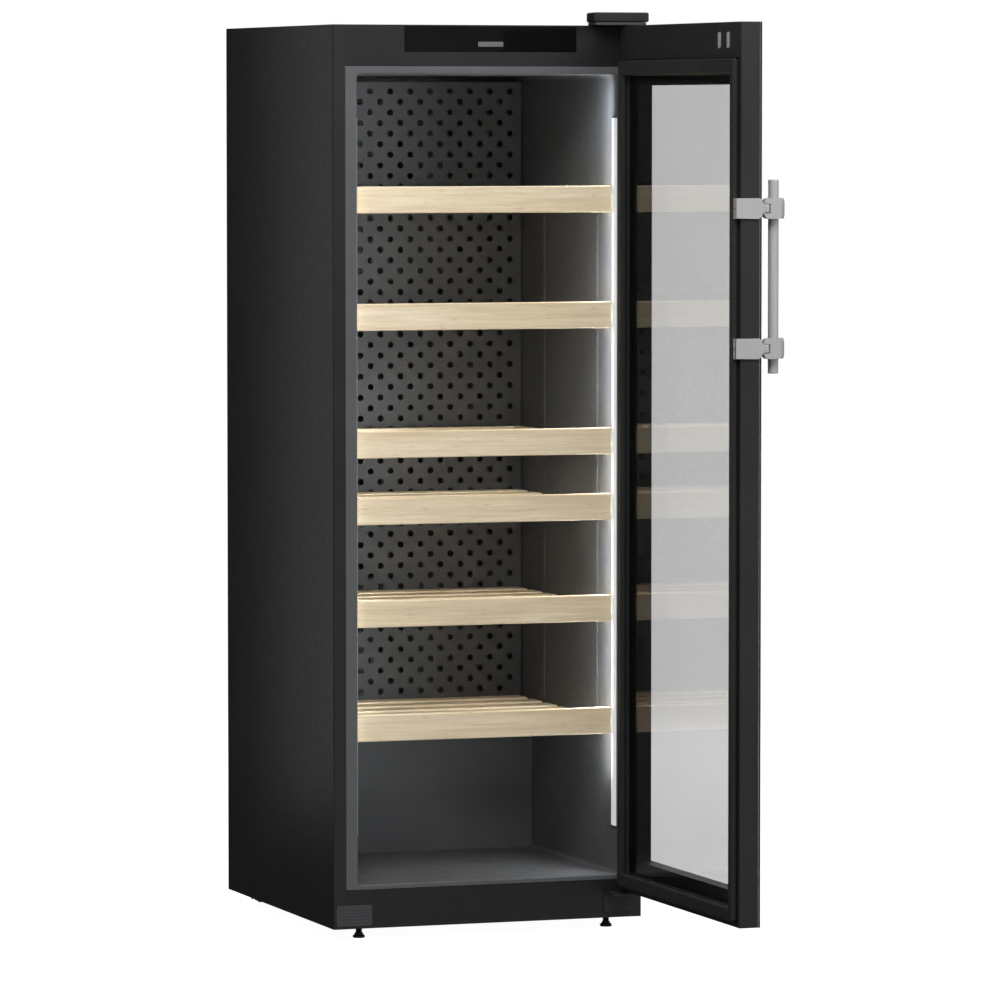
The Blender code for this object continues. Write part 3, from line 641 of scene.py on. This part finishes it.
# ---------------------------------------------------------------- door
def door_frame():
    """Moulded frame: rounded edges, a groove for the gasket and a rebate for the inner pane."""
    lo, hi = span("door_frame", True)
    x, z, front, face = (lo.x, hi.x), (lo.z, hi.z), lo.y, hi.y
    groove_x, groove_z, bottom = (0.0080, 0.5775), (0.0825, 1.5975), face - 0.0045
    pane_x, pane_z, pane_y = (0.0262, 0.5573), (0.1087, 1.5683), INNER_PRINT_Y[0]
    land = face - 0.0003  # between the groove and the rebate
    setback = 0.008  # from the clear part of the glass to the frame
    rows = [rect(x, z, front, 0.002), rect(x, z, face - 0.0020, 0.002),
            rect(x, z, face - 0.0006, 0.002, -0.0006), rect(x, z, face, 0.002, -0.0020),
            rect(groove_x, groove_z, face, 0.003), rect(groove_x, groove_z, bottom, 0.003),
            rect(groove_x, groove_z, bottom, 0.003, -0.0045),
            rect(groove_x, groove_z, land, 0.003, -0.0050),
            rect(pane_x, pane_z, land, 0.003, 0.0006), rect(pane_x, pane_z, land - 0.0006, 0.003),
            rect(pane_x, pane_z, pane_y, 0.003), rect(CLEAR_X, CLEAR_Z, pane_y, 0.001, setback),
            rect(CLEAR_X, CLEAR_Z, front, 0.001, setback)]
    bm = bmesh.new()
    loft(bm, rows, closed=True)
    piece("door_frame_moulding", bm, "door", "frame_composite", ["door_frame"], shut=True)


def door_pane(node, front, back):
    """Clear pane with a thin black printed border between two depths."""
    lo, hi = span(node, True)
    bm = bmesh.new()
    block(bm, lo, hi, 0.0008, 2)
    pane = piece(node + "_pane", bm, "door", "clear_glass", [node], shut=True)
    pane.data.materials.append(LOOK["frame_composite"])
    for face in pane.data.polygons:  # the ground edges are dark
        face.material_index = int(abs(face.normal.x) < 0.9)

    x, z, inset = (lo.x, hi.x), (lo.z, hi.z), -0.0006
    bm = bmesh.new()
    loft(bm, [rect(x, z, front, 0.002, inset), rect(CLEAR_X, CLEAR_Z, front, 0.001),
              rect(CLEAR_X, CLEAR_Z, back, 0.001), rect(x, z, back, 0.002, inset)], closed=True)
    piece(node + "_border", bm, "door", "gloss_black", shut=True, look=LOOK["print"])


def spacer():
    """Dark bar between the panes, with a bevelled inner face."""
    lo, hi = span("glazing_spacer", True)
    deep, edge = 0.0075, 0.0008
    section = ((lo.y, deep), (lo.y, edge), (lo.y + edge, 0.0),
               (hi.y - edge, 0.0), (hi.y, edge), (hi.y, deep))
    bm = bmesh.new()
    loft(bm, [rect(CLEAR_X, CLEAR_Z, y, 0.001, grow) for y, grow in section], closed=True)
    piece("glazing_spacer_bar", bm, "door", "black_plastic", ["glazing_spacer"], shut=True,
          look=LOOK["print"])


def gasket():
    """Bellows gasket: two soft lips with a fold between them, swept round the door."""
    lo, hi = span("door_gasket", True)
    outer, inner = ((lo.x, hi.x), (lo.z, hi.z)), ((0.0255, 0.5580), (0.1080, 1.5690))
    outer_r, inner_r = 0.006, 0.002
    # Section points: from the outer edge (0) to the inner one (1), and from the door outwards.
    section = ((0.10, 0.00), (0.04, 0.10), (0.00, 0.40), (0.00, 0.62), (0.07, 0.74), (0.02, 0.86),
               (0.06, 0.97), (0.16, 1.00), (0.84, 1.00), (0.94, 0.97), (0.98, 0.86), (0.93, 0.74),
               (1.00, 0.62), (1.00, 0.40), (0.96, 0.10), (0.90, 0.00))
    rows = []
    for t, out in section:
        x, z = ([a + (b - a) * t for a, b in zip(*ends)] for ends in zip(outer, inner))
        rows.append(rect(x, z, lo.y + out * (hi.y - lo.y), outer_r + (inner_r - outer_r) * t))
    bm = bmesh.new()
    loft(bm, rows, closed=True)
    piece("door_gasket_bellows", bm, "door", "gasket_rubber", ["door_gasket"], shut=True,
          smooth=60)


def plug(node):
    """Cap in a fixing hole of the door that isn't used."""
    lo, hi = span(node, True)
    bm = bmesh.new()
    slab(bm, front_outline(lo, hi, 0.003), lo.y, hi.y, 0.0005, axis="y")
    piece(node + "_cap", bm, "door", "silver_plastic", [node], shut=True)


def handle_bracket(word):
    """Side plate, a ring that guides the plunger, and the knuckle with its pivot pin."""
    lo, hi = span("handle_bracket_" + word, True)
    mid, r, nose, inner = (lo.z + hi.z) / 2, 0.008, -0.0435, -0.0003
    side = [(hi.y, hi.z)] + arc(nose, hi.z - r, r, 90, 180)
    side += arc(nose, lo.z + r, r, 180, 270) + [(hi.y, lo.z)]
    bm = bmesh.new()
    slab(bm, side, lo.x, inner, 0.0012, 3, axis="x")

    push = span("push_plunger_" + word, True)
    centre, bore, front = (push[0].x + push[1].x) / 2, 0.0029, -0.0117
    ring = ((-0.0050, hi.x), (lo.z, hi.z))
    hole = ((centre - bore, centre + bore), (mid - bore, mid + bore))
    loft(bm, [rect(*ring, front, 0.0014), rect(*ring, hi.y, 0.0014),
              rect(*hole, hi.y, 0.97 * bore), rect(*hole, front, 0.97 * bore)], closed=True)

    knuckle, web = (-0.0650, -0.0545), (-0.0560, -0.0500)  # depths of the knuckle and its root
    block(bm, (lo.x, knuckle[0], mid - 0.008), (0.0090, knuckle[1], mid + 0.008), 0.0030, 4)
    block(bm, (lo.x + 0.0002, web[0], mid - 0.0078), (-0.0005, web[1], mid + 0.0078), 0.0008, 2)
    pin = ((0.0017, -0.0178), (0.0020, -0.0175), (0.0020, 0.0175), (0.0017, 0.0178))
    pivot = (0.002, -0.060, mid)
    lathe(bm, pin, upright(*pivot), 24)
    piece("handle_bracket_%s_body" % word, bm, "door", "silver_plastic",
          ["handle_bracket_" + word], shut=True)


def handle_arm(word):
    """Lever with a slot for the knuckle, and the rounded sleeve that holds the bar."""
    lo, hi = span("handle_arm_" + word, True)
    mid, half = (lo.z + hi.z) / 2, 0.0085
    near_y, near_r, far_y, far_r, open_y, slot_y = -0.0635, 0.009, -0.0830, 0.004, -0.0545, -0.0667
    lever = arc(near_y, hi.z - near_r, near_r, 0, 90)
    lever += arc(far_y, hi.z - far_r, far_r, 90, 180) + arc(far_y, lo.z + far_r, far_r, 180, 270)
    lever += arc(near_y, lo.z + near_r, near_r, 270, 360)
    lever += [(open_y, mid - half), (slot_y, mid - half),
              (slot_y, mid + half), (open_y, mid + half)]
    sleeve = [(-0.0046, -0.0690)] + arc(0.0135, -0.0803, 0.0181, 184, 268, 8)
    sleeve += arc(0.0245, -0.0885, 0.0099, 270, 360) + arc(0.0245, -0.0797, 0.0099, 0, 78)
    sleeve += [(0.0160, -0.0690)]
    bm = bmesh.new()
    slab(bm, lever, lo.x, 0.0100, 0.0010, 3, axis="x")
    slab(bm, sleeve, lo.z + 0.0002, hi.z - 0.0002, 0.0068, 6)
    piece("handle_arm_%s_body" % word, bm, "handle_lever", "silver_plastic",
          ["handle_arm_" + word], shut=True)


def handle_bar():
    """Straight bar with rounded ends."""
    lo, hi = span("handle_bar", True)
    r, edge = (hi.x - lo.x) / 2, 0.0022
    turns = [math.radians(15 * k) for k in range(7)]
    cap = [(r - edge + edge * math.sin(t), edge * (1 - math.cos(t))) for t in turns]
    profile = [(a, lo.z + b) for a, b in cap] + [(a, hi.z - b) for a, b in reversed(cap)]
    bm = bmesh.new()
    lathe(bm, profile, upright((lo.x + hi.x) / 2, (lo.y + hi.y) / 2, 0), 48)
    piece("handle_bar_tube", bm, "handle_lever", "bar_silver", ["handle_bar"], shut=True)


# ---------------------------------------------------------------- carried-over CAD nodes
def dress_cad_nodes():
    """Every CAD node gets its finish and softened edges."""
    slots = {part["node"]: part["material_slot"] for part in frame["record"]["subparts"]}
    special = {"status_light_bar": LOOK["status"]}
    common = 0.0003
    widths = {"status_light_bar": 0.0002, "control_fascia": 0.0008, "upper_hinge_bracket": 0.0008,
              "compressor_mount": 0.001, "lower_hinge_bracket": 0.0012, "circulation_fan": 0.0008}
    for name, node in frame["nodes"].items():
        node.data.materials.clear()
        node.data.materials.append(special.get(name) or LOOK[slots[name]])
        weld = node.modifiers.new("weld", "WELD")
        weld.merge_threshold = 0.00002
        edge = node.modifiers.new("edges", "BEVEL")
        edge.width, edge.segments = widths.get(name, common), 2
        edge.limit_method, edge.angle_limit = "ANGLE", math.radians(40)


# ---------------------------------------------------------------- studio
def surround():
    """White backdrop for the camera and through the glass; a dim graded surround for the rest."""
    world = bpy.data.worlds.new("studio")
    bpy.context.scene.world = world
    world.use_nodes = True
    tree = world.node_tree
    tree.nodes.clear()

    way = wire(tree, "ShaderNodeTexCoord").outputs["Generated"]
    split = wire(tree, "ShaderNodeSeparateXYZ", {"Vector": way})
    front = grade(tree, split.outputs["Y"], 0.40, 0.12, -0.9, 0.7)
    right = grade(tree, split.outputs["X"], 0.0, 0.20, 0.1, 1.0)
    dimmest = (-0.45, 0.89, 0.0)
    lean = wire(tree, "ShaderNodeVectorMath", {0: way, 1: dimmest}, operation="DOT_PRODUCT")
    shade = grade(tree, lean.outputs["Value"], 1.0, 0.22, 0.70, 0.97)
    total = wire(tree, "ShaderNodeMath", {0: front, 1: right})
    level = wire(tree, "ShaderNodeMath", {0: total.outputs[0], 1: shade}, operation="MULTIPLY")
    soft = wire(tree, "ShaderNodeBackground",
                {"Color": (0.96, 0.98, 1.0, 1.0), "Strength": level.outputs[0]})
    white = wire(tree, "ShaderNodeBackground", {"Color": (1.0, 1.0, 1.0, 1.0), "Strength": 1.0})
    path = wire(tree, "ShaderNodeLightPath").outputs
    seen = wire(tree, "ShaderNodeMath",
                {0: path["Is Camera Ray"], 1: path["Is Transmission Ray"]}, operation="MAXIMUM")
    mixed = wire(tree, "ShaderNodeMixShader",
                 {0: seen.outputs[0], 1: soft.outputs[0], 2: white.outputs[0]})
    wire(tree, "ShaderNodeOutputWorld", {"Surface": mixed.outputs[0]})


def studio_floor():
    """Bright floor that takes a soft shadow and throws no light back on the cabinet."""
    bpy.ops.mesh.primitive_circle_add(vertices=96, radius=14.0, fill_type="NGON",
                                      location=(0, 0, 0))
    floor = bpy.context.object
    floor.name = "studio_floor"
    s = Surface("studio_floor", rough=0.8, Emission_Strength=0.96)
    s.drive("Base Color", s.ramp(s.noise(1.5), ((0.3, 0.155), (0.7, 0.165))))
    s.shader.inputs["Emission Color"].default_value = (1.0, 1.0, 1.0, 1.0)
    floor.data.materials.append(s.material)
    floor.visible_glossy = floor.visible_diffuse = False


def lamp(name, at, aim, size, watts, tint=(1.0, 1.0, 1.0), glossy=True, spread=180):
    """Soft area light that neither the camera nor the glass shows directly."""
    data = bpy.data.lights.new(name, "AREA")
    data.shape, data.size, data.size_y = "RECTANGLE", *size
    data.energy, data.color, data.spread = watts, tint, math.radians(spread)
    made = bpy.data.objects.new(name, data)
    bpy.context.scene.collection.objects.link(made)
    made.location = ORIGIN + Vector(at)
    made.rotation_euler = (Vector(aim) - Vector(at)).to_track_quat("-Z", "Y").to_euler()
    made.visible_camera = made.visible_transmission = False
    made.visible_glossy = glossy


def studio_lamps():
    lamp("front_soft", at=(-1.0, -3.0, 3.5), aim=(0.3, 0.0, 1.4), size=(2.0, 1.6), watts=122.0,
         glossy=False)
    lamp("front_right_soft", at=(2.4, -2.8, 3.0), aim=(0.3, 0.0, 1.3), size=(1.8, 1.6), watts=38.0)
    lamp("top_soft", at=(0.2, -0.6, 4.2), aim=(0.3, 0.1, 1.0), size=(3.0, 3.0), watts=34.0)
    lamp("back_soft", at=(1.6, 4.0, 1.05), aim=(0.3, 0.6, 0.9), size=(2.6, 1.0), watts=48.0)
    lamp("side_sheen", at=(-0.36, 0.76, 1.05), aim=(0.0, 0.0, 1.05), size=(0.14, 1.8), watts=0.8)


def strip_lamps():
    """The light that the two strips give: narrow lamps along the side walls."""
    left, right = INSIDE_X
    thin, tall, mid, cool = 0.012, 1.28, 0.84, {"tint": (0.93, 0.97, 1.0), "glossy": False}
    lamp("strip_left", at=(left + 0.006, 0.044, mid), aim=(1.0, 0.20, mid),
         size=(thin, tall), watts=0.7, **cool)
    lamp("strip_left_wash", at=(left + 0.010, 0.052, 0.95), aim=(left + 0.03, 0.52, 0.95),
         size=(0.014, 1.24), watts=3.2, spread=70, **cool)
    lamp("strip_left_spill", at=(left + 0.001, 0.010, mid), aim=(left + 0.012, 0.020, mid),
         size=(0.004, tall), watts=0.17, **cool)
    lamp("strip_right", at=(right - 0.006, 0.046, 0.86), aim=(-0.2, -0.05, 0.86),
         size=(thin, 1.40), watts=6.0, **cool)
    lamp("strip_right_wash", at=(right - 0.030, 0.030, 0.92), aim=(right, 0.090, 0.92),
         size=(thin, tall), watts=2.1, **cool)


def camera():
    """Long lens from the front left."""
    turn, tip = 19.6404, 3.5024  # degrees to the right and down
    data = bpy.data.cameras.new("camera")
    data.sensor_width, data.lens = 36.0, 227.854
    data.clip_end = 60.0
    made = bpy.data.objects.new("camera", data)
    bpy.context.scene.collection.objects.link(made)
    made.location = ORIGIN + Vector((-3.55529, -10.85864, 1.50127))
    made.rotation_euler = (math.radians(90 - tip), 0, -math.radians(turn))
    bpy.context.scene.camera = made
    bpy.context.scene.view_settings.view_transform = "Standard"


def cabinet():
    side_panel("left_side_panel", False)
    side_panel("right_side_panel", True)
    liner()
    lower_rail()
    spare_hinge_cover()
    back_panel()
    inlet_pins()
    duct_panel()
    for side in ("left", "right"):
        light_strip("led_strip_" + side)
    for side in ("left", "right"):
        rack("shelf_rack_" + side)
    for number in range(1, 7):
        shelf(number)
    for side in ("left", "right"):
        levelling_foot(side)
        roller(side)
    hinge_cover()


def door():
    door_frame()
    door_pane("door_outer_glass", *OUTER_PRINT_Y)
    door_pane("door_inner_glass", *INNER_PRINT_Y)
    spacer()
    gasket()
    for number in (1, 2):
        plug("spare_hinge_plug_%d" % number)
    for word in ("upper", "lower"):
        handle_bracket(word)
        handle_arm(word)
    handle_bar()


make_looks()
dress_cad_nodes()
cabinet()
door()
surround()
studio_floor()
studio_lamps()
strip_lamps()
camera()
